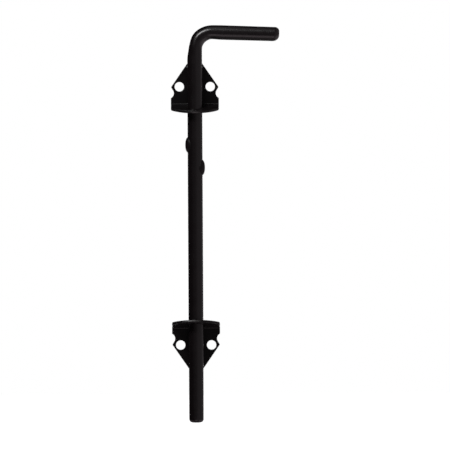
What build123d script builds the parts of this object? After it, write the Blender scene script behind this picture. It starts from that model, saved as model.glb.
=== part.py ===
from build123d import *
import os
from math import cos, radians, sin, tan

# Cane bolt (drop rod) for a gate or barn door. Millimetres, +Z up.
# Origin: midway between the upper bracket's two screw holes, on the mounting plane,
# which is the back of both brackets. The gate lies on the +Y side of that plane,
# the rod stands in front of it on the -Y side, and the handle points along +X.

# --- the rod: one round bar, bent at the top into a handle ---
ROD_DIAMETER = 15.9
ROD_STANDOFF = 17.0         # rod axis to the mounting plane
ROD_BELOW_ORIGIN = 358.3    # origin down to the rod's lower end
HANDLE_RISE = 58.9          # origin up to where the rod's and the handle's axes meet
HANDLE_REACH = 90.4         # rod axis to the handle's tip
HANDLE_DROOP = 2.0          # degrees that the bar is bent past square
BEND_RADIUS = 18.3          # centre line of the bend
TIP_ROUNDING = 5.5          # rounded rim of the handle's tip
GROUND_END_ROUNDING = 3.7   # rounded rim of the rod's lower end
GROUND_END_DIAMETER = 15.52  # the lowest stretch is eased, to enter a ground sleeve
GROUND_END_LENGTH = 60.0
GROUND_END_TAPER = 2.0      # length of the cone between the two diameters

# --- stop lugs: weld buttons on the rod's sides ---
UPPER_LUG_DROP = 61.8       # origin down to the middle of the lug on the -X side
LOWER_LUG_DROP = 85.9       # origin down to the middle of the lug on the +X side
LUG_LENGTH = 16.3           # along the rod
LUG_HEIGHT = 2.5            # proud of the rod
LUG_WRAP = 57.0             # degrees of the rod that it covers to each side of its peak
LUG_CROWN_RADIUS = 14.1     # half-length across the rod of the ellipsoid that crowns it

# --- brackets: two identical stampings, the lower one upside down ---
SHEET = 3.0
BRACKET_SPACING = 276.0     # between the two brackets' screw hole lines
SCREW_HOLE_SPACING = 33.0
SCREW_HOLE_DIAMETER = 10.0
APEX_HEIGHT = 36.5          # hole line to where the slanted edges would meet
APEX_ROUNDING = 5.0
CORNER_HALF_WIDTH = 25.2    # widest point of the slanted edges
CORNER_DROP = 0.4           # that point's distance below the hole line
NOTCH_TOP = (22.95, 4.4)    # side notch: half-width of the plate, and drop below the hole line
NOTCH_WAIST = (22.38, 6.9)
NOTCH_BOTTOM_DROP = 12.0
BAND_HALF_WIDTH = 25.6      # the plate and flange below the notches
FOLD_DROP = 18.7            # hole line to the corner inside the fold
FOLD_INNER_RADIUS = 1.5
FLANGE_LEAN = 12.0          # degrees short of a square fold
FLANGE_REACH = 33.5         # mounting plane to the flange's nose
NOSE_RADIUS = 30.7          # the flange's curved front edge
NOSE_CORNER_ROUNDING = 3.0
COLLAR_HOLE_DIAMETER = 16.7

ROD_RADIUS = ROD_DIAMETER / 2
COLLAR_AXIS_Y = -ROD_STANDOFF
TOOL_LENGTH = 200.0         # longer than a bracket, for the prisms that trim it


def rod_path():
    """The bar's centre line above its eased end: straight up, round the bend, out to the tip."""
    droop = radians(HANDLE_DROOP)
    eased_top = -ROD_BELOW_ORIGIN + GROUND_END_LENGTH + GROUND_END_TAPER
    corner = (0, COLLAR_AXIS_Y, HANDLE_RISE)
    tip = (HANDLE_REACH, COLLAR_AXIS_Y, HANDLE_RISE - HANDLE_REACH * tan(droop))
    return FilletPolyline((0, COLLAR_AXIS_Y, eased_top), corner, tip, radius=BEND_RADIUS)


def eased_ground_end():
    """The lowest stretch of the rod, turned about the rod's axis, with its rounded end."""
    radius = GROUND_END_DIAMETER / 2
    taper_bottom = GROUND_END_LENGTH
    taper_top = taper_bottom + GROUND_END_TAPER
    outline = Polyline(
        (0, 0),
        (radius, 0),
        (radius, taper_bottom),
        (ROD_RADIUS, taper_top),
        (0, taper_top),
        close=True,
    )
    profile = Plane.XZ * make_face(outline)
    turned = revolve(profile, Axis.Z)
    rim = turned.edges().filter_by(GeomType.CIRCLE).sort_by(Axis.Z)[0]
    turned = fillet(rim, GROUND_END_ROUNDING)
    return Pos(0, COLLAR_AXIS_Y, -ROD_BELOW_ORIGIN) * turned


def cane_rod():
    """The bent bar as one solid: eased end, straight shank, bend and handle."""
    path = rod_path()
    section = Plane(origin=path @ 0, z_dir=path % 0) * Circle(ROD_RADIUS)
    bar = sweep(section, path=path)
    rim = bar.edges().filter_by(GeomType.CIRCLE).sort_by(Axis.X)[-1]
    bar = fillet(rim, TIP_ROUNDING)
    return bar + eased_ground_end()


def stop_lug(side, drop):
    """A domed weld button on the rod's side towards side * X, fitted to the rod's round surface."""
    crown = ROD_RADIUS + LUG_HEIGHT
    centre = crown - LUG_CROWN_RADIUS
    at_rod = (ROD_RADIUS - centre) / LUG_CROWN_RADIUS
    half_z = LUG_LENGTH / 2 / (1 - at_rod**2) ** 0.5
    wrap = radians(LUG_WRAP)
    at_wrap = (ROD_RADIUS * cos(wrap) - centre) / LUG_CROWN_RADIUS
    half_y = ROD_RADIUS * sin(wrap) / (1 - at_wrap**2) ** 0.5
    dome = Pos(centre, 0, 0) * scale(Sphere(1), by=(LUG_CROWN_RADIUS, half_y, half_z))
    keep = Pos(crown, 0, 0) * Box(crown * 1.9, crown * 2, LUG_LENGTH * 2)
    button = (dome & keep) - Cylinder(ROD_RADIUS, LUG_LENGTH * 3)
    if side < 0:
        button = Rot(0, 0, 180) * button
    return Pos(0, COLLAR_AXIS_Y, -drop) * button


def sheet_profile():
    """The bracket's sheet seen from its side: upright plate, fold, and leaning flange."""
    lean = radians(FLANGE_LEAN)
    inner_corner = (-SHEET, -FOLD_DROP)
    run = FLANGE_REACH - SHEET
    inner_nose = (-FLANGE_REACH, -FOLD_DROP - run * tan(lean))
    through = SHEET / cos(lean)
    outer_nose = (inner_nose[0], inner_nose[1] - through)
    outer_corner = (0, -FOLD_DROP - through + SHEET * tan(lean))
    outline = Polyline(
        (-SHEET, APEX_HEIGHT),
        inner_corner,
        inner_nose,
        outer_nose,
        outer_corner,
        (0, APEX_HEIGHT),
        close=True,
    )
    face = make_face(outline)
    inside = face.vertices().sort_by_distance(inner_corner)[0]
    face = fillet(inside, FOLD_INNER_RADIUS)
    outside = face.vertices().sort_by_distance(outer_corner)[0]
    return fillet(outside, FOLD_INNER_RADIUS + SHEET)


def front_outline():
    """The plate's outline seen from the front: rounded apex, slanted edges, and side notches."""
    foot = -(FOLD_DROP + FLANGE_REACH)
    corner = (CORNER_HALF_WIDTH, -CORNER_DROP)
    notch_top = (NOTCH_TOP[0], -NOTCH_TOP[1])
    waist = (NOTCH_WAIST[0], -NOTCH_WAIST[1])
    notch_bottom = (BAND_HALF_WIDTH, -NOTCH_BOTTOM_DROP)
    edge = Polyline((0, APEX_HEIGHT), corner, notch_top)
    edge += ThreePointArc(notch_top, waist, notch_bottom)
    edge += Polyline(notch_bottom, (BAND_HALF_WIDTH, foot), (0, foot))
    face = make_face(edge + mirror(edge, Plane.YZ))
    apex = face.vertices().sort_by(Axis.Y)[-1]
    return fillet(apex, APEX_ROUNDING)


def flange_plan():
    """The flange's outline seen along the rod: straight sides and a curved nose."""
    sagitta = NOSE_RADIUS - (NOSE_RADIUS**2 - BAND_HALF_WIDTH**2) ** 0.5
    shoulder = -(FLANGE_REACH - sagitta)
    nose = ThreePointArc(
        (BAND_HALF_WIDTH, shoulder), (0, -FLANGE_REACH), (-BAND_HALF_WIDTH, shoulder)
    )
    sides = Polyline(
        (-BAND_HALF_WIDTH, shoulder),
        (-BAND_HALF_WIDTH, SHEET),
        (BAND_HALF_WIDTH, SHEET),
        (BAND_HALF_WIDTH, shoulder),
    )
    face = make_face(nose + sides)
    shoulders = face.vertices().group_by(Axis.Y)[0]
    return fillet(shoulders, NOSE_CORNER_ROUNDING)


def bracket():
    """One stamping, apex up, with its origin midway between its screw holes on its back."""
    folded = extrude(Plane.YZ * sheet_profile(), BAND_HALF_WIDTH + SHEET, both=True)
    front = extrude(Plane.XZ * front_outline(), TOOL_LENGTH / 2, both=True)
    plan = extrude(flange_plan(), TOOL_LENGTH / 2, both=True)
    plate = folded & front & plan
    collar_hole = Pos(0, COLLAR_AXIS_Y, 0) * Cylinder(COLLAR_HOLE_DIAMETER / 2, TOOL_LENGTH)
    plate -= collar_hole
    for side in (-1, 1):
        across = Pos(side * SCREW_HOLE_SPACING / 2, 0, 0) * Rot(90, 0, 0)
        plate -= across * Cylinder(SCREW_HOLE_DIAMETER / 2, TOOL_LENGTH)
    return plate


def lower_bracket():
    """The same stamping turned half a turn in the gate's plane, apex down."""
    return Pos(0, 0, -BRACKET_SPACING) * Rot(0, 180, 0) * bracket()


os.makedirs("parts", exist_ok=True)
nodes = {
    "cane_rod": cane_rod(),
    "upper_stop_lug": stop_lug(-1, UPPER_LUG_DROP),
    "lower_stop_lug": stop_lug(1, LOWER_LUG_DROP),
    "upper_bracket": bracket(),
    "lower_bracket": lower_bracket(),
}
for name, shape in nodes.items():
    export_step(shape, f"parts/{name}.step")
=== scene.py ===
import math

import bpy
from mathutils import Matrix, Vector
from mathutils.geometry import delaunay_2d_cdt


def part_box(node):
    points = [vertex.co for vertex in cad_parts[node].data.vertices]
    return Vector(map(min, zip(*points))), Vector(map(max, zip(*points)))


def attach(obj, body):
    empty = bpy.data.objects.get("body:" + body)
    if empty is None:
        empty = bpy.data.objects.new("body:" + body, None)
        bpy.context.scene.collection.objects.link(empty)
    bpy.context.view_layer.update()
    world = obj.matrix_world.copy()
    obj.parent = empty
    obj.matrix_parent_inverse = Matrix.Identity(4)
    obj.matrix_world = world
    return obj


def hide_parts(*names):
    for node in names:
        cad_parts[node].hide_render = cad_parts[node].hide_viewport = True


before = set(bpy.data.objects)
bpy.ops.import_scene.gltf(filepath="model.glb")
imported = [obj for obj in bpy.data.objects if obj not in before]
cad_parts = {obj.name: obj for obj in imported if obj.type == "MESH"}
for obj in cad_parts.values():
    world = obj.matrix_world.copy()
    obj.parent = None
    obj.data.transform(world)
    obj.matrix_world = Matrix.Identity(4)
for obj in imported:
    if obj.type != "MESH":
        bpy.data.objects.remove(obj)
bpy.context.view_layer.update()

MM = 0.001

# ---------------------------------------------------------------------------
# Sizes, in metres, in the row frame: taken from the CAD frame where it has them
# ---------------------------------------------------------------------------
ROD_LOW, ROD_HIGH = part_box("cane_rod")
PLATE_LOW, PLATE_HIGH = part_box("upper_bracket")
LOWER_LOW, LOWER_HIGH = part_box("lower_bracket")
UPPER_LUG_LOW, UPPER_LUG_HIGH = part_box("upper_stop_lug")
LOWER_LUG_LOW, LOWER_LUG_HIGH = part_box("lower_stop_lug")

ROD_R = (ROD_HIGH.y - ROD_LOW.y) / 2
ROD_Y = (ROD_HIGH.y + ROD_LOW.y) / 2
BRACKET_DROP = (PLATE_HIGH.z + PLATE_LOW.z + LOWER_HIGH.z + LOWER_LOW.z) / 2

HANDLE_AXIS_RISE = 58.9 * MM     # where the rod's and the handle's axes meet
HANDLE_TIP_X = 90.4 * MM
HANDLE_DROOP = math.radians(2.0)
HANDLE_THINNING = (0.15 * MM, 0.40 * MM)  # off the radius, after the bend and at the tip
BEND_R = 18.3 * MM
TIP_ROUNDING_OVER = 4.6 * MM     # the handle's tip is rounded more underneath
TIP_ROUNDING_UNDER = 6.5 * MM
GROUND_END_ROUNDING = 3.7 * MM
GROUND_END_R = 7.76 * MM
GROUND_END_LENGTH = 60 * MM
GROUND_END_TAPER = 2 * MM

BAR_SIDES = 96                   # points round the bar
BAR_STEP = 2.5 * MM              # between rings on its plain stretches
BEND_STEP = 0.6 * MM             # and round the bend and the taper
BEND_MARGIN = 22 * MM            # how far the close rings go on past the bend
TAPER_MARGIN = 3 * MM
RIM_STEPS = 14                   # rings over a rounded end

LUG_WRAP = math.radians(57)
LUG_ROOT = 0.4 * MM              # how far the weld metal goes into the bar
LUG_ROOT_SHARE = 0.97            # its back's size beside the lug's edge
LUG_WAVER = (0.02, 0.012)        # three-lobed and five-lobed waver of its edge
DOME_SQUARENESS = 2.4            # above 2, the dome is fuller towards its edge
DOME_POWER = 0.6
TOE_SHARE = 0.14                 # the part of its height that fades out over the weld's toe
TOE_START = 0.8
LUG_RINGS = 22
LUG_SIDES = 72

SHEET = 3.0 * MM
FOLD_INNER_R = 1.5 * MM
FOLD_ANGLE = math.radians(78)
FOLD_START = -17.485 * MM        # where the plate's flat face ends and the fold begins
NEUTRAL = 0.4                    # share of the sheet's thickness that keeps its length
APEX = (0.0, 36.5 * MM)          # where the plate's slanted edges would meet
APEX_ROUNDING = 5.0 * MM
CORNER = (25.39 * MM, -0.4 * MM)  # their widest point, before it is rounded
CORNER_ROUNDING = 1.25 * MM
NOTCH_TOP = (22.95 * MM, -4.4 * MM)
NOTCH_TOP_ROUNDING = 1.5 * MM
NOTCH_WAIST = (22.38 * MM, -6.9 * MM)
NOTCH_FOOT_DROP = 12.0 * MM
NOTCH_FOOT_ROUNDING = 0.6 * MM
BAND_HALF = 25.6 * MM            # half-width of the plate and flange below the notches
NOSE_R = 30.7 * MM
NOSE_Y = -33.5 * MM              # how far out the flange's curved nose reaches
SHOULDER_ROUNDING = 2.6 * MM
SCREW_HOLE_X = 16.5 * MM
SCREW_HOLE_R = 5.0 * MM
COLLAR_HOLE_R = 8.35 * MM
EDGE_ROUNDING = 0.75 * MM        # rolled and coated edges of the stampings
BREAK_ANGLE = math.radians(12)   # a sheared edge slants in towards the back of the blank
BREAK_DEPTH = 1.9 * MM           # from the back face to where that slant begins
BREAK_ROW = 1.2 * MM             # a row of points half-way along the slant
ROLLED_TILTS = (0.1, 0.95)       # shares of a right angle that count as the rolled edge
NOSE_HIGHLIGHT_WIDTH = 4.2 * MM        # width of the painted highlight on the middle of a flange's nose
NOSE_HIGHLIGHT_START = 0.3 * MM        # its distance from the back face

OUTLINE_STEP = 0.5 * MM          # between points round a bracket's outline and collar hole
HOLE_STEP = 0.45 * MM            # and round its screw holes
NOTCH_POINTS = 16
NOSE_POINTS = 40
CORNER_POINTS = 12
EDGE_STEPS = 5                   # rows over each rounded edge
FACE_STEP_X = 1.5 * MM           # between the points inside its flat faces
FACE_STEP_V = 1.6 * MM
FOLD_STEPS = 8                   # rows of points across the fold
FACE_TOP = 36 * MM               # the highest row of those points
FACE_GAP = 0.55 * MM             # least distance of those points from a rim


# ---------------------------------------------------------------------------
# Small mesh helpers
# ---------------------------------------------------------------------------
def mesh_piece(name, verts, faces, normals=None):
    """A smooth-shaded mesh object, with exact vertex normals where they are known."""
    mesh = bpy.data.meshes.new(name)
    mesh.from_pydata([tuple(v) for v in verts], [], faces)
    mesh.update()
    for polygon in mesh.polygons:
        polygon.use_smooth = True
    if normals:
        mesh.normals_split_custom_set_from_vertices([tuple(n) for n in normals])
    piece = bpy.data.objects.new(name, mesh)
    bpy.context.scene.collection.objects.link(piece)
    return piece


def vertex_values(piece, name, values):
    """A named number on each vertex, which the materials read."""
    attribute = piece.data.attributes.new(name, "FLOAT", "POINT")
    attribute.data.foreach_set("value", values)


def vertex_vectors(piece, name, vectors):
    """A named vector on each vertex, which the materials read."""
    attribute = piece.data.attributes.new(name, "FLOAT_VECTOR", "POINT")
    attribute.data.foreach_set("vector", [c for v in vectors for c in v])


def bump(x, centre, width):
    """A smooth hill of height 1."""
    return math.exp(-(((x - centre) / width) ** 2))


def smooth_step(x, low, high):
    """0 below low, 1 above high, and smooth between."""
    t = min(1.0, max(0.0, (x - low) / (high - low)))
    return t * t * (3 - 2 * t)


# ---------------------------------------------------------------------------
# The rod: one bar, with its section followed along the centre line
# ---------------------------------------------------------------------------
BEND_TURN = math.pi / 2 + HANDLE_DROOP
BEND_TANGENT = BEND_R * math.tan(BEND_TURN / 2)
BEND_LENGTH = BEND_R * BEND_TURN
SHANK_LENGTH = HANDLE_AXIS_RISE - BEND_TANGENT - ROD_LOW.z
HANDLE_LENGTH = HANDLE_TIP_X / math.cos(HANDLE_DROOP) - BEND_TANGENT
BAR_LENGTH = SHANK_LENGTH + BEND_LENGTH + HANDLE_LENGTH


def centre_line(s):
    """Point on the bar's axis at length s from its lower end, and its direction there."""
    start = Vector((0, ROD_Y, ROD_LOW.z))
    if s <= SHANK_LENGTH:
        return start + Vector((0, 0, s)), Vector((0, 0, 1))
    bend_start = start + Vector((0, 0, SHANK_LENGTH))
    centre = bend_start + Vector((BEND_R, 0, 0))
    angle = min((s - SHANK_LENGTH) / BEND_R, BEND_TURN)
    outward = Vector((-math.cos(angle), 0, math.sin(angle)))
    along = Vector((math.sin(angle), 0, math.cos(angle)))
    point = centre + outward * BEND_R
    rest = s - SHANK_LENGTH - BEND_LENGTH
    if rest > 0:
        point += along * rest
    return point, along


# Where the bend is out of round: (depth, place along the bar, width before it, width after it)
BEND_PRESS = (1.75 * MM, SHANK_LENGTH + 4 * MM, 8.7 * MM, 6.8 * MM)
BEND_PRESS_TAIL = (0.5 * MM, SHANK_LENGTH + 20 * MM, 12 * MM, 12 * MM)
BEND_PINCH = (0.45 * MM, SHANK_LENGTH + BEND_LENGTH, 6 * MM, 6 * MM)
PRESS_SPREAD = 0.12              # share of the press that comes out at the bar's sides


def dent(s, shape):
    """The depth at length s of one place where the bar is out of round."""
    depth, place, before, after = shape
    return depth * bump(s, place, before if s < place else after)


def bar_radius(s):
    """The bar's radius without its rounded rims: eased ground end, shank, thinner handle."""
    taper = smooth_step(s, GROUND_END_LENGTH, GROUND_END_LENGTH + GROUND_END_TAPER)
    radius = GROUND_END_R + (ROD_R - GROUND_END_R) * taper
    bend_end = SHANK_LENGTH + BEND_LENGTH
    start, tip = HANDLE_THINNING
    radius -= start * smooth_step(s, SHANK_LENGTH, bend_end)
    radius -= (tip - start) * max(0.0, (s - bend_end) / HANDLE_LENGTH)
    return radius


def rim_inset(distance, rounding):
    """How far the surface has drawn in at a distance from a rounded end."""
    inside = rounding - min(distance, rounding)
    return rounding - math.sqrt(rounding**2 - inside**2)


def bar_stations():
    """Lengths along the bar where a ring stands: close on the rims and the bend, open elsewhere."""
    steps = [1 - math.cos(math.pi / 2 * i / RIM_STEPS) for i in range(RIM_STEPS + 1)]
    stations = [GROUND_END_ROUNDING * t for t in steps]
    tip_start = BAR_LENGTH - TIP_ROUNDING_UNDER
    taper_middle = GROUND_END_LENGTH + GROUND_END_TAPER / 2
    s = GROUND_END_ROUNDING
    while s < tip_start:
        near_bend = -BEND_MARGIN < s - SHANK_LENGTH < BEND_LENGTH + BEND_MARGIN
        near_taper = abs(s - taper_middle) < TAPER_MARGIN
        s += BEND_STEP if near_bend or near_taper else BAR_STEP
        if s < tip_start - BEND_STEP / 2:
            stations.append(s)
    return stations + [BAR_LENGTH - TIP_ROUNDING_UNDER * t for t in reversed(steps)]


def bar_ring(s):
    """One ring of the bar's surface at length s, and the same points on the unbent bar."""
    point, along = centre_line(s)
    across = Vector((0, 1, 0))
    outward = along.cross(across)
    press = dent(s, BEND_PRESS) + dent(s, BEND_PRESS_TAIL)
    pinch = dent(s, BEND_PINCH)
    ring, unbent = [], []
    for i in range(BAR_SIDES):
        angle = 2 * math.pi * i / BAR_SIDES
        under = (1 - math.cos(angle)) / 2
        tip_rounding = TIP_ROUNDING_OVER + (TIP_ROUNDING_UNDER - TIP_ROUNDING_OVER) * under
        radius = bar_radius(s) - rim_inset(s, GROUND_END_ROUNDING)
        radius -= rim_inset(BAR_LENGTH - s, tip_rounding)
        out = math.cos(angle) * radius
        side = math.sin(angle) * (radius + PRESS_SPREAD * press)
        out *= 1 - (press if out > 0 else pinch) / ROD_R
        ring.append(point + outward * out + across * side)
        unbent.append(Vector((out, side, s)))
    return ring, unbent


def cane_rod():
    """The bent bar, closed by a cropped face at each end."""
    count = BAR_SIDES
    verts, unbent = [], []
    for s in bar_stations():
        ring, flat = bar_ring(s)
        verts += ring
        unbent += flat
    rings = len(verts) // count
    faces = []
    for ring in range(rings - 1):
        for i in range(count):
            j = (i + 1) % count
            a, b = ring * count, (ring + 1) * count
            faces.append((a + i, b + i, b + j, a + j))
    for ring, end, flip in ((0, 0.0, False), (rings - 1, BAR_LENGTH, True)):
        centre = len(verts)
        verts.append(centre_line(end)[0])
        unbent.append(Vector((0, 0, end)))
        inner = len(verts)
        for i in range(count):
            verts.append(verts[centre].lerp(verts[ring * count + i], 0.5))
            unbent.append(unbent[centre].lerp(unbent[ring * count + i], 0.5))
        for i in range(count):
            j = (i + 1) % count
            rim = (ring * count + i, ring * count + j, inner + j, inner + i)
            fan = (inner + i, inner + j, centre)
            faces.append(tuple(reversed(rim)) if flip else rim)
            faces.append(tuple(reversed(fan)) if flip else fan)
    piece = mesh_piece("rod_bar", verts, faces)
    vertex_vectors(piece, "bar", unbent)
    return piece


# ---------------------------------------------------------------------------
# Stop lugs: domed weld buttons that sit on the rod's round side
# ---------------------------------------------------------------------------
LUG_HALF = (UPPER_LUG_HIGH.z - UPPER_LUG_LOW.z) / 2
LUG_HEIGHT = -UPPER_LUG_LOW.x - ROD_R


def lug_height(rho):
    """The dome's height over the bar at rho, from 0 at its peak to 1 at its edge."""
    dome = max(0.0, 1 - rho**DOME_SQUARENESS)
    toe = 1 - smooth_step(rho, TOE_START, 1.0)
    return LUG_HEIGHT * ((1 - TOE_SHARE) * dome**DOME_POWER + TOE_SHARE * toe * dome)


def stop_lug(name, side, middle_z):
    """A closed dome whose back is sunk a little into the bar."""
    rings, count = LUG_RINGS, LUG_SIDES
    verts, faces = [], []

    def on_bar(rho, theta, height):
        waver = 1 + LUG_WAVER[0] * math.sin(3 * theta + side)
        waver += LUG_WAVER[1] * math.sin(5 * theta - 2 * side)
        phi = LUG_WRAP * rho * math.cos(theta) * waver
        z = middle_z + LUG_HALF * rho * math.sin(theta) * min(waver, 1.0)
        r = ROD_R + height
        return Vector((side * r * math.cos(phi), ROD_Y + r * math.sin(phi), z))

    verts.append(on_bar(0, 0, lug_height(0)))
    for k in range(1, rings + 1):
        rho = math.sin(math.pi / 2 * k / rings)
        for i in range(count):
            verts.append(on_bar(rho, 2 * math.pi * i / count, lug_height(rho)))
    outer = 1 + (rings - 1) * count
    for i in range(count):
        verts.append(on_bar(LUG_ROOT_SHARE, 2 * math.pi * i / count, -LUG_ROOT))
    back = len(verts)
    verts.append(on_bar(0, 0, -LUG_ROOT))
    for i in range(count):
        j = (i + 1) % count
        faces.append((0, 1 + i, 1 + j))
        for k in range(rings - 1):
            a, b = 1 + k * count, 1 + (k + 1) * count
            faces.append((a + i, b + i, b + j, a + j))
        faces.append((outer + i, outer + count + i, outer + count + j, outer + j))
        faces.append((outer + count + i, back, outer + count + j))
    if side < 0:
        faces = [tuple(reversed(f)) for f in faces]
    return mesh_piece(name, verts, faces)


# ---------------------------------------------------------------------------
# Brackets: a flat blank with rounded edges, folded along one line
# ---------------------------------------------------------------------------
FOLD_LENGTH = (FOLD_INNER_R + NEUTRAL * SHEET) * FOLD_ANGLE
FOLD_OUTER_R = FOLD_INNER_R + SHEET
BREAK_FOOT = EDGE_ROUNDING * (1 - math.sin(BREAK_ANGLE))  # where the slant meets the rounding
BREAK_RUN = (BREAK_DEPTH - BREAK_FOOT) * math.tan(BREAK_ANGLE)
BACK_INSET = EDGE_ROUNDING * math.cos(BREAK_ANGLE) + BREAK_RUN


def fold(u, v, w):
    """A point of the blank after folding: u across, v up the blank, w from its back face."""
    reach = FOLD_START - v
    radius = FOLD_OUTER_R - w
    if reach <= 0:
        return Vector((u, -w, v))
    angle = min(reach / FOLD_LENGTH, 1.0) * FOLD_ANGLE
    y = -FOLD_OUTER_R + radius * math.cos(angle)
    z = FOLD_START - radius * math.sin(angle)
    past = max(0.0, reach - FOLD_LENGTH)
    return Vector((u, y - past * math.sin(FOLD_ANGLE), z - past * math.cos(FOLD_ANGLE)))


def fold_normal(n, v):
    """A direction of the blank after folding: n is (across, up the blank, out of its back face)."""
    reach = max(0.0, FOLD_START - v)
    angle = min(reach / FOLD_LENGTH, 1.0) * FOLD_ANGLE
    up = Vector((0, math.sin(angle), math.cos(angle)))
    out = Vector((0, math.cos(angle), -math.sin(angle)))
    return Vector((n[0], 0, 0)) + up * n[1] + out * n[2]


def blank_v(y, w):
    """How far down the blank a flange point lies that ends up at depth y."""
    fold_end = -FOLD_OUTER_R + (FOLD_OUTER_R - w) * math.cos(FOLD_ANGLE)
    return FOLD_START - FOLD_LENGTH - (fold_end - y) / math.sin(FOLD_ANGLE)


def rounded(corners, step):
    """A closed outline through (point, radius) corners, each turned by an arc, in even steps."""
    dense = []
    n = len(corners)
    for k, (p, r) in enumerate(corners):
        p = Vector(p)
        if r == 0:
            dense.append(p)
            continue
        a = (Vector(corners[k - 1][0]) - p).normalized()
        b = (Vector(corners[(k + 1) % n][0]) - p).normalized()
        half = a.angle(b) / 2
        middle = p + (a + b).normalized() * (r / math.sin(half))
        first = p + a * (r / math.tan(half))
        last = p + b * (r / math.tan(half))
        start, end = first - middle, last - middle
        turn = start.angle_signed(end)
        for i in range(CORNER_POINTS + 1):
            t = -turn * i / CORNER_POINTS
            dense.append(middle + Matrix.Rotation(t, 2) @ start)
    lengths = [0.0]
    for k in range(len(dense)):
        lengths.append(lengths[-1] + (dense[(k + 1) % len(dense)] - dense[k]).length)
    count = round(lengths[-1] / step)
    outline, k = [], 0
    for i in range(count):
        target = lengths[-1] * i / count
        while lengths[k + 1] < target:
            k += 1
        t = (target - lengths[k]) / (lengths[k + 1] - lengths[k])
        outline.append(dense[k].lerp(dense[(k + 1) % len(dense)], t))
    return outline


def arc_points(a, through, b, count):
    """Points on the arc from a to b through a third point, without its ends."""
    a, m, b = Vector(a), Vector(through), Vector(b)
    d = 2 * (a.x * (m.y - b.y) + m.x * (b.y - a.y) + b.x * (a.y - m.y))
    sa, sm, sb = a.length_squared, m.length_squared, b.length_squared
    centre = Vector((
        (sa * (m.y - b.y) + sm * (b.y - a.y) + sb * (a.y - m.y)) / d,
        (sa * (b.x - m.x) + sm * (a.x - b.x) + sb * (m.x - a.x)) / d,
    ))
    turn = -(a - centre).angle_signed(b - centre)
    return [centre + Matrix.Rotation(turn * i / count, 2) @ (a - centre) for i in range(1, count)]


def blank_outline():
    """The blank's outer edge: apex, slanted sides, notches, band and curved nose, anticlockwise."""
    notch_foot = (BAND_HALF, -NOTCH_FOOT_DROP)
    shoulder_y = NOSE_Y + NOSE_R - math.sqrt(NOSE_R**2 - BAND_HALF**2)
    shoulder = (BAND_HALF, blank_v(shoulder_y, SHEET))
    right = [(CORNER, CORNER_ROUNDING), (NOTCH_TOP, NOTCH_TOP_ROUNDING)]
    right += [(p, 0) for p in arc_points(NOTCH_TOP, NOTCH_WAIST, notch_foot, NOTCH_POINTS)]
    right += [(notch_foot, NOTCH_FOOT_ROUNDING), (shoulder, SHOULDER_ROUNDING)]
    left = [((-p[0], p[1]), r) for p, r in right]
    nose = []
    half_angle = math.asin(BAND_HALF / NOSE_R)
    for i in range(1, NOSE_POINTS):
        angle = half_angle * (2 * i / NOSE_POINTS - 1)
        y = NOSE_Y + NOSE_R - NOSE_R * math.cos(angle)
        nose.append(((NOSE_R * math.sin(angle), blank_v(y, SHEET)), 0))
    return rounded([(APEX, APEX_ROUNDING)] + left + nose + right[::-1], OUTLINE_STEP)


def circle(x, v, radius, step):
    """A circle's points, anticlockwise."""
    count = round(2 * math.pi * radius / step)
    return [
        Vector((x + radius * math.cos(2 * math.pi * i / count),
                v + radius * math.sin(2 * math.pi * i / count)))
        for i in range(count)
    ]


def outline_normals(points):
    """Outward normals of an anticlockwise outline."""
    normals = []
    for k in range(len(points)):
        along = points[(k + 1) % len(points)] - points[k - 1]
        normals.append(Vector((along.y, -along.x)).normalized())
    return normals


def edge_profile():
    """The cut edge from back to front: (inset, height from the back, tilt towards the back)."""
    steps = EDGE_STEPS
    r = EDGE_ROUNDING
    profile = []
    for i in range(steps + 1):
        tilt = math.pi / 2 + (BREAK_ANGLE - math.pi / 2) * i / steps
        profile.append((BACK_INSET - r * math.cos(tilt), r * (1 - math.sin(tilt)), tilt))
    slant_inset = (BREAK_DEPTH - BREAK_ROW) * math.tan(BREAK_ANGLE)
    profile.append((slant_inset, BREAK_ROW, BREAK_ANGLE))
    # Two rows close together ease the corner between the slant and the upright part
    profile.append((0.03 * MM, BREAK_DEPTH - 0.1 * MM, BREAK_ANGLE * 0.7))
    profile.append((0.0, BREAK_DEPTH + 0.15 * MM, 0.0))
    for i in range(steps + 1):
        tilt = -math.pi / 2 * i / steps
        profile.append((r * (1 - math.cos(tilt)), SHEET - r * (1 + math.sin(tilt)), tilt))
    return profile


def bracket_loops():
    """The blank's cut edges: (points, outward normals, 1 or -1 for a hole, shift).

    The collar hole runs along the rod and not square to the leaning flange, so its shift is
    its middle's place up the blank at the back face and at the front face.
    """
    outer = blank_outline()
    loops = [(outer, outline_normals(outer), 1, (0.0, 0.0))]
    for x in (-SCREW_HOLE_X, SCREW_HOLE_X):
        hole = circle(x, 0.0, SCREW_HOLE_R, HOLE_STEP)
        loops.append((hole, outline_normals(hole), -1, (0.0, 0.0)))
    collar = circle(0.0, 0.0, COLLAR_HOLE_R, OUTLINE_STEP)
    collar = [Vector((p.x, p.y / math.sin(FOLD_ANGLE))) for p in collar]
    collar_v = (blank_v(ROD_Y, 0.0), blank_v(ROD_Y, SHEET))
    loops.append((collar, outline_normals(collar), -1, collar_v))
    return loops


def edge_row(loop, inset, w, tilt, add):
    """One row of points along a cut edge, inset from the outline, at height w over the back."""
    points, outs, sign, shift = loop
    offset = shift[0] + (shift[1] - shift[0]) * w / SHEET
    rolled_from, rolled_to = ROLLED_TILTS
    edge = 1.0 if rolled_from < abs(tilt) / (math.pi / 2) < rolled_to else 0.0
    row = []
    for p, n in zip(points, outs):
        q = p - n * inset * sign
        normal = (n * (math.cos(tilt) * sign)).to_3d() + Vector((0, 0, math.sin(tilt)))
        # The nose value marks a painted highlight, a lighter spot on the middle of a flange's nose
        # rim
        on_nose_highlight = sign > 0 and p.y < FOLD_START and NOSE_HIGHLIGHT_START < w < BREAK_DEPTH
        nose = bump(p.x, 0, NOSE_HIGHLIGHT_WIDTH) if on_nose_highlight else 0.0
        row.append(add(q.x, q.y + offset, w, normal, edge, nose))
    return row


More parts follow.
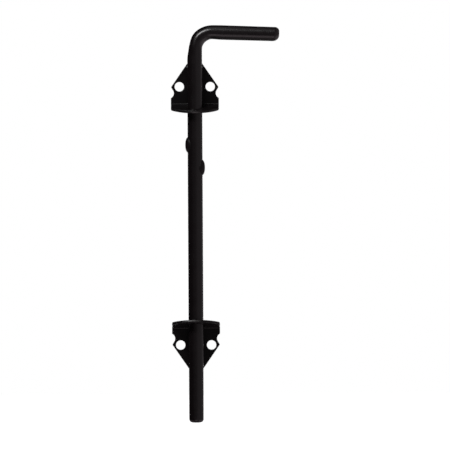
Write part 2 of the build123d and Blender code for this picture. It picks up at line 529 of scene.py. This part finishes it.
def edge_band(loop, add, faces):
    """The mesh of one cut edge; returns its rows on the back face and on the front face."""
    rows = [edge_row(loop, *step, add) for step in edge_profile()]
    points, _, sign, _ = loop
    count = len(points)
    for lower, upper in zip(rows, rows[1:]):
        for i in range(count):
            j = (i + 1) % count
            quad = (lower[i], lower[j], upper[j], upper[i])
            faces.append(quad if sign > 0 else tuple(reversed(quad)))
    return rows[0], rows[-1]


def bracket(name, place):
    """One stamping, built in the upper bracket's position and then put in its own place."""
    verts, normals, edge_values, nose_highlight_values, faces = [], [], [], [], []

    def add(u, v, w, n, edge=0.0, nose=0.0):
        verts.append(place @ fold(u, v, w))
        normals.append(place.to_3x3() @ fold_normal(n, v).normalized())
        edge_values.append(edge)
        nose_highlight_values.append(nose)
        return len(verts) - 1

    loops = bracket_loops()
    bands = [edge_band(loop, add, faces) for loop in loops]
    fill_face(0.0, BACK_INSET, loops, [back for back, _ in bands], add, faces)
    fill_face(SHEET, EDGE_ROUNDING, loops, [front for _, front in bands], add, faces)
    piece = mesh_piece(name, verts, faces, normals)
    vertex_values(piece, "edge", edge_values)
    # The nose attribute carries the painted highlight on the flange's nose
    vertex_values(piece, "nose", nose_highlight_values)
    return piece


def face_rows():
    """Heights up the blank of the rows of points inside its faces: plate, fold and flange."""
    plate_rows = math.ceil((FACE_TOP - FOLD_START) / FACE_STEP_V)
    rows = [FACE_TOP - FACE_STEP_V * i for i in range(plate_rows)]
    rows = [v for v in rows if v > FOLD_START + 0.3 * MM]
    rows += [FOLD_START - FOLD_LENGTH * i / FOLD_STEPS for i in range(FOLD_STEPS + 1)]
    flange_rows = math.ceil(-NOSE_Y / FACE_STEP_V)
    rows += [FOLD_START - FOLD_LENGTH - FACE_STEP_V * i for i in range(1, flange_rows)]
    return rows


def fill_face(w, inset, loops, rims, add, faces):
    """Fills the blank's back (w is 0) or front face between its rims, with points for the fold."""
    rings, edges, known = [], [], []
    for (outline, outs, sign, shift), rim in zip(loops, rims):
        offset = shift[0] + (shift[1] - shift[0]) * w / SHEET
        insets = [p - n * inset * sign for p, n in zip(outline, outs)]
        rings.append([Vector((q.x, q.y + offset)) for q in insets])
        start, count = len(known), len(outline)
        edges += [(start + i, start + (i + 1) % count) for i in range(count)]
        known += rim
    points = [p for ring in rings for p in ring] + face_points(rings)
    out_points, _, out_faces, origins, _, _ = delaunay_2d_cdt(points, edges, [], 1, 1e-7)
    outward = (0, 0, 1.0 if w == 0 else -1.0)
    index_of = []
    for p, sources in zip(out_points, origins):
        given = [known[s] for s in sources if s < len(known)]
        index_of.append(given[0] if given else add(p.x, p.y, w, outward))
    for f in out_faces:
        middle = (out_points[f[0]] + out_points[f[1]] + out_points[f[2]]) / 3
        if inside(middle, rings):
            tri = tuple(index_of[i] for i in f)
            faces.append(tuple(reversed(tri)) if w == 0 else tri)


def face_points(rings):
    """Points in rows inside a face, clear of its rims."""
    half_count = math.ceil(BAND_HALF / FACE_STEP_X)
    columns = [i * FACE_STEP_X for i in range(1 - half_count, half_count)]
    grid = [Vector((x, v)) for v in face_rows() for x in columns]
    return [p for p in grid if inside(p, rings) and clear_of(p, rings)]


def clear_of(p, rings):
    """Is p clear of every rim point?"""
    return all((p - q).length_squared > FACE_GAP * FACE_GAP for ring in rings for q in ring)


def inside(p, rings):
    """Is p inside the first ring, which is the outer outline, and outside the others?"""
    for number, ring in enumerate(rings):
        within = False
        for k, a in enumerate(ring):
            b = ring[k - 1]
            if (a.y > p.y) != (b.y > p.y) and p.x < (b.x - a.x) * (p.y - a.y) / (b.y - a.y) + a.x:
                within = not within
        if within != (number == 0):
            return False
    return True


# ---------------------------------------------------------------------------
# Materials
# ---------------------------------------------------------------------------
COAT_DARK = (0.0040, 0.0027, 0.0031)
COAT_LIGHT = (0.0060, 0.0044, 0.0050)
PLATE_DARK = (0.0026, 0.0019, 0.0022)
PLATE_LIGHT = (0.0044, 0.0035, 0.0039)
RUBBED_AND_PAINTED_HIGHLIGHT = (0.05, 0.048, 0.048)    # coat thinned on the stampings' edges, and the painted highlight on their noses
EDGE_RUB = 0.35
DUST = (0.09, 0.085, 0.08)
DUST_COVER = 0.25
DUST_ROUGHNESS = 0.2             # added where a speck lies

# Noise scales, in features per metre or so, and the noise values between which each one acts
CLOUD_SCALE = 60                 # slow changes of the coat's colour
CLOUD_RANGE = (0.3, 0.7)
GLOSS_SCALE = 110                # and of its gloss
GLOSS_RANGE = (0.25, 0.75)
GLOSS_SPREAD = (-0.05, 0.06)     # added to the roughness at its two ends
RUB_SCALE = 240
RUB_RANGE = (0.45, 0.75)
# Patches in the painted highlight on the flange noses
NOSE_HIGHLIGHT_SCALE = 420
NOSE_HIGHLIGHT_RANGE = (0.3, 0.6)
NOSE_HIGHLIGHT_LEAST = 0.55            # the share of the painted highlight kept at the range's low end
DUST_SCALE = 2600
DUST_RANGE = (0.74, 0.80)
PEEL_SCALE = 950                 # orange peel
PEEL_DEPTH = 0.06 * MM
GRAIN_SCALE = 1300               # across a drawn bar
GRAIN_RANGE = (0.3, 0.7)
GRAIN_STRETCH = 0.04             # how much slower the grain changes along the bar
GRAIN_GLOSS = 0.02
GRAIN_HEIGHT = 0.35              # beside the peel's height of 1
SEED_STEP = Vector((1, 0.37, 0.71))


def noise(tree, place, scale, detail, rough=0.55):
    """Fractal noise, between 0 and 1."""
    node = tree.nodes.new("ShaderNodeTexNoise")
    node.inputs["Scale"].default_value = scale
    node.inputs["Detail"].default_value = detail
    node.inputs["Roughness"].default_value = rough
    tree.links.new(place, node.inputs["Vector"])
    return node.outputs["Fac"]


def ramp(tree, value, span, a=0.0, b=1.0):
    """A value that goes from a to b while the given one crosses span, and no further."""
    node = tree.nodes.new("ShaderNodeMapRange")
    node.inputs["From Min"].default_value = span[0]
    node.inputs["From Max"].default_value = span[1]
    node.inputs["To Min"].default_value = a
    node.inputs["To Max"].default_value = b
    tree.links.new(value, node.inputs["Value"])
    return node.outputs["Result"]


def combine(tree, operation, a, b):
    """ADD or MULTIPLY two values, of which b may be a plain number."""
    node = tree.nodes.new("ShaderNodeMath")
    node.operation = operation
    tree.links.new(a, node.inputs[0])
    if isinstance(b, float):
        node.inputs[1].default_value = b
    else:
        tree.links.new(b, node.inputs[1])
    return node.outputs["Value"]


def mix(tree, share, a, b):
    """Colour a turned into colour b by a share from 0 to 1; each may be a plain colour."""
    node = tree.nodes.new("ShaderNodeMix")
    node.data_type = "RGBA"
    for socket, value in ((node.inputs["A"], a), (node.inputs["B"], b)):
        if isinstance(value, tuple):
            socket.default_value = (*value, 1)
        else:
            tree.links.new(value, socket)
    tree.links.new(share, node.inputs["Factor"])
    return node.outputs["Result"]


def from_vertices(tree, name, output="Fac"):
    """A number, or the Vector, that a piece carries on its vertices, and 0 where it has none."""
    node = tree.nodes.new("ShaderNodeAttribute")
    node.attribute_name = name
    return node.outputs[output]


def mapped(tree, vector, setting, value):
    """A place that is moved (Location) or stretched (Scale)."""
    node = tree.nodes.new("ShaderNodeMapping")
    node.inputs[setting].default_value = value
    tree.links.new(vector, node.inputs["Vector"])
    return node.outputs["Vector"]


def coat_colour(tree, place, dust, dark, light):
    """Cloudy black, rubbed thin on the stampings' edges, with a painted highlight on their noses
    and specks of dust.
    """
    clouds = ramp(tree, noise(tree, place, CLOUD_SCALE, 4), CLOUD_RANGE)
    worn = ramp(tree, noise(tree, place, RUB_SCALE, 3), RUB_RANGE)
    edge = combine(tree, "MULTIPLY", from_vertices(tree, "edge"), worn)
    # Painted highlight on the middle of each flange's nose, broken into patches
    highlight_patches = ramp(tree, noise(tree, place, NOSE_HIGHLIGHT_SCALE, 2), NOSE_HIGHLIGHT_RANGE, NOSE_HIGHLIGHT_LEAST)
    nose = combine(tree, "MULTIPLY", from_vertices(tree, "nose"), highlight_patches)
    colour = mix(tree, clouds, dark, light)
    colour = mix(tree, combine(tree, "MULTIPLY", edge, EDGE_RUB), colour, RUBBED_AND_PAINTED_HIGHLIGHT)
    # Painted highlight: the lighter colour on the flange's nose
    colour = mix(tree, nose, colour, RUBBED_AND_PAINTED_HIGHLIGHT)
    return mix(tree, combine(tree, "MULTIPLY", dust, DUST_COVER), colour, DUST)


def drawn_grain(tree):
    """Fine lengthwise grain, which follows the bar round its bend."""
    along_bar = from_vertices(tree, "bar", "Vector")
    stretched = mapped(tree, along_bar, "Scale", (1, 1, GRAIN_STRETCH))
    return noise(tree, stretched, GRAIN_SCALE, 3, 0.6)


def powder_coat(name, dark, light, roughness, specular, peel, seed, drawn=False):
    """Semi-gloss black powder coat: orange peel, cloudy gloss, specks of dust, rubbed edges, and a
    painted highlight on the stampings' noses.

    peel is the strength of the orange peel, and seed moves the pattern. drawn adds the
    lengthwise grain of a drawn bar, which shows faintly through its coat.
    """
    material = bpy.data.materials.new(name)
    material.use_nodes = True
    tree = material.node_tree
    shader = tree.nodes["Principled BSDF"]
    shader.inputs["Specular IOR Level"].default_value = specular
    where = tree.nodes.new("ShaderNodeTexCoord")
    place = mapped(tree, where.outputs["Object"], "Location", SEED_STEP * seed)
    dust = ramp(tree, noise(tree, place, DUST_SCALE, 1), DUST_RANGE)
    tree.links.new(coat_colour(tree, place, dust, dark, light), shader.inputs["Base Color"])

    least, most = (roughness + change for change in GLOSS_SPREAD)
    gloss = ramp(tree, noise(tree, place, GLOSS_SCALE, 5, 0.6), GLOSS_RANGE, least, most)
    height = noise(tree, place, PEEL_SCALE, 2, 0.5)
    if drawn:
        grain = drawn_grain(tree)
        streaks = ramp(tree, grain, GRAIN_RANGE, -GRAIN_GLOSS, GRAIN_GLOSS)
        gloss = combine(tree, "ADD", gloss, streaks)
        height = combine(tree, "ADD", height, combine(tree, "MULTIPLY", grain, GRAIN_HEIGHT))
    gloss = combine(tree, "ADD", gloss, combine(tree, "MULTIPLY", dust, DUST_ROUGHNESS))
    tree.links.new(gloss, shader.inputs["Roughness"])

    surface = tree.nodes.new("ShaderNodeBump")
    surface.inputs["Strength"].default_value = peel
    surface.inputs["Distance"].default_value = PEEL_DEPTH
    tree.links.new(height, surface.inputs["Height"])
    tree.links.new(surface.outputs["Normal"], shader.inputs["Normal"])
    return material


def floor_material():
    """Plain pale studio floor."""
    material = bpy.data.materials.new("pale_floor")
    material.use_nodes = True
    shader = material.node_tree.nodes["Principled BSDF"]
    shader.inputs["Base Color"].default_value = (0.9, 0.9, 0.9, 1)
    shader.inputs["Roughness"].default_value = 0.9
    shader.inputs["Emission Color"].default_value = (1, 1, 1, 1)
    shader.inputs["Emission Strength"].default_value = 1.0
    return material


# ---------------------------------------------------------------------------
# Stage, lights and camera
# ---------------------------------------------------------------------------
LIGHT_DISTANCE = 2.5
TOP_LIGHT_DISTANCE = 0.5
HANDLE_ROOT = Vector((0.0, ROD_Y, HANDLE_AXIS_RISE))
FLOOR_DROP = 0.1                 # from the rod's lower end
FLOOR_RADIUS = 3.0
FLOOR_SIDES = 128
LOW_LIGHT_COLOUR = (1, 0.86, 0.90)
ROOM_COLOUR = (1, 0.90, 0.94, 1)
ROOM_BASE = 0.012

# Glows of the room: azimuth, elevation, cosines where it starts and is full, brightness
ROOM_GLOWS = (
    (85, 0, -0.1, 1.0, 0.29),     # bright side of the room, front right
    (5, 0, 0.5, 1.0, 0.08),       # round the camera
    (0, -90, 0.75, 1.0, 0.2),     # the floor itself
    (75, -45, 0.85, 1.0, 0.6),    # light off the floor, right
    (-80, -50, 0.88, 1.0, 0.5),   # and left
    (125, -32, 0.88, 1.0, 0.6),   # and behind, on both sides
    (-130, -34, 0.90, 1.0, 0.6),
)

CAMERA_DISTANCE = 12.0
CAMERA_ELEVATION = 1.6
CAMERA_ROLL = math.radians(-0.3)  # the rod leans a little in the picture
VIEW_HEIGHT = 480.15 * MM        # what the picture shows at the object, top to bottom
VIEW_CENTRE = Vector((31.5 * MM, ROD_Y, -147.5 * MM))


def toward(azimuth, elevation):
    """Unit direction from the object: azimuth 0 is the camera's side, positive to its right."""
    az, el = math.radians(azimuth), math.radians(elevation)
    return Vector((math.sin(az) * math.cos(el), -math.cos(az) * math.cos(el), math.sin(el)))


def panel(name, azimuth, elevation, width, height, brightness, look_at,
          distance=LIGHT_DISTANCE, roll=0.0, colour=(1, 1, 1)):
    """A soft light: a panel that covers width x height degrees as the object sees it."""
    data = bpy.data.lights.new(name, "AREA")
    data.shape = "RECTANGLE"
    data.size = 2 * distance * math.tan(math.radians(width / 2))
    data.size_y = 2 * distance * math.tan(math.radians(height / 2))
    data.energy = brightness * math.pi * data.size * data.size_y
    data.color = colour
    light = bpy.data.objects.new(name, data)
    bpy.context.scene.collection.objects.link(light)
    out = toward(azimuth, elevation)
    side = Vector((math.cos(math.radians(azimuth)), math.sin(math.radians(azimuth)), 0))
    up = out.cross(side)
    facing = Matrix((side, up, out)).transposed() @ Matrix.Rotation(math.radians(roll), 3, "Z")
    light.matrix_world = Matrix.Translation(look_at + out * distance) @ facing.to_4x4()
    light.visible_camera = False


def glow(tree, where, azimuth, elevation, low, high, peak):
    """A smooth glow of the room about one direction."""
    dot = tree.nodes.new("ShaderNodeVectorMath")
    dot.operation = "DOT_PRODUCT"
    dot.inputs[1].default_value = toward(azimuth, elevation)
    tree.links.new(where, dot.inputs[0])
    fade = ramp(tree, dot.outputs["Value"], (low, high), 0.0, peak)
    fade.node.interpolation_type = "SMOOTHSTEP"
    return fade


def room_light(tree):
    """Dim room that is brighter towards the front right and darker on the left."""
    where = tree.nodes.new("ShaderNodeTexCoord")
    total = None
    for values in ROOM_GLOWS:
        part = glow(tree, where.outputs["Generated"], *values)
        total = combine(tree, "ADD", part, ROOM_BASE if total is None else total)
    room = tree.nodes.new("ShaderNodeBackground")
    room.inputs["Color"].default_value = ROOM_COLOUR
    tree.links.new(total, room.inputs["Strength"])
    return room


def backdrop_and_room():
    """White wherever the camera looks past the object, and the dim room for everything else."""
    world = bpy.data.worlds.new("studio")
    bpy.context.scene.world = world
    world.use_nodes = True
    tree = world.node_tree
    backdrop = tree.nodes["Background"]
    backdrop.inputs["Color"].default_value = (1, 1, 1, 1)
    backdrop.inputs["Strength"].default_value = 1.0
    room = room_light(tree)
    path = tree.nodes.new("ShaderNodeLightPath")
    choose = tree.nodes.new("ShaderNodeMixShader")
    tree.links.new(path.outputs["Is Camera Ray"], choose.inputs["Fac"])
    tree.links.new(room.outputs["Background"], choose.inputs[1])
    tree.links.new(backdrop.outputs["Background"], choose.inputs[2])
    tree.links.new(choose.outputs["Shader"], tree.nodes["World Output"].inputs["Surface"])


def pale_floor():
    """A wide round floor, well below the rod, which neither lights nor shades the object."""
    z = ROD_LOW.z - FLOOR_DROP
    verts = []
    for i in range(FLOOR_SIDES):
        angle = 2 * math.pi * i / FLOOR_SIDES
        verts.append(Vector((FLOOR_RADIUS * math.cos(angle), FLOOR_RADIUS * math.sin(angle), z)))
    floor = mesh_piece("floor", verts, [tuple(range(FLOOR_SIDES))])
    floor.data.materials.append(floor_material())
    floor.visible_glossy = False
    floor.visible_diffuse = False
    floor.visible_shadow = False


def lights(look_at):
    """Key light on the bend, soft light over and under the handle, and two strips behind."""
    panel("key_panel", azimuth=-35, elevation=47, width=32, height=15,
          brightness=15.5, look_at=look_at, roll=38)
    panel("top_panel", azimuth=-2, elevation=74, width=26, height=50,
          brightness=0.40, look_at=HANDLE_ROOT, distance=TOP_LIGHT_DISTANCE)
    panel("low_panel", azimuth=-2, elevation=-46, width=28, height=34,
          brightness=1.12, look_at=look_at, colour=LOW_LIGHT_COLOUR)
    for name, azimuth in (("rim_right", 169), ("rim_left", -169)):
        panel(name, azimuth, elevation=-14, width=7, height=52, brightness=2.4, look_at=look_at)


def camera(look_at):
    """Very long lens, a little above the object's middle."""
    data = bpy.data.cameras.new("camera")
    data.sensor_width = 36.0
    data.lens = data.sensor_width * CAMERA_DISTANCE / VIEW_HEIGHT
    data.clip_end = 50
    cam = bpy.data.objects.new("camera", data)
    bpy.context.scene.collection.objects.link(cam)
    out = toward(0, CAMERA_ELEVATION)
    turn = (-out).to_track_quat("-Z", "Y").to_matrix().to_4x4()
    roll = Matrix.Rotation(CAMERA_ROLL, 4, "Z")
    cam.matrix_world = Matrix.Translation(look_at + out * CAMERA_DISTANCE) @ turn @ roll
    bpy.context.scene.camera = cam


# ---------------------------------------------------------------------------
# Assembly
# ---------------------------------------------------------------------------
camera(VIEW_CENTRE)
backdrop_and_room()
pale_floor()
lights(VIEW_CENTRE)

rod_coat = powder_coat("black_coat_rod", COAT_DARK, COAT_LIGHT,
                       roughness=0.27, specular=0.42, peel=0.35, seed=1.3, drawn=True)
lug_coat = powder_coat("black_coat_lug", COAT_DARK, COAT_LIGHT,
                       roughness=0.50, specular=0.16, peel=0.6, seed=4.1)
plate_coat = powder_coat("black_coat_plate", PLATE_DARK, PLATE_LIGHT,
                         roughness=0.33, specular=0.22, peel=0.4, seed=7.7)

rod = cane_rod()
rod.data.materials.append(rod_coat)
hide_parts("cane_rod")
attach(rod, "bolt")

for lug_name, node, side, low, high in (
    ("upper_lug_weld", "upper_stop_lug", -1, UPPER_LUG_LOW, UPPER_LUG_HIGH),
    ("lower_lug_weld", "lower_stop_lug", 1, LOWER_LUG_LOW, LOWER_LUG_HIGH),
):
    lug = stop_lug(lug_name, side, (low.z + high.z) / 2)
    lug.data.materials.append(lug_coat)
    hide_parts(node)
    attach(lug, "bolt")

half_turn = Matrix.Translation((0, 0, BRACKET_DROP)) @ Matrix.Rotation(math.pi, 4, "Y")
for piece_name, node, place in (
    ("upper_bracket_stamping", "upper_bracket", Matrix.Identity(4)),
    ("lower_bracket_stamping", "lower_bracket", half_turn),
):
    stamping = bracket(piece_name, place)
    stamping.data.materials.append(plate_coat)
    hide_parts(node)
    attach(stamping, "brackets")

bpy.context.scene.view_settings.view_transform = "Standard"
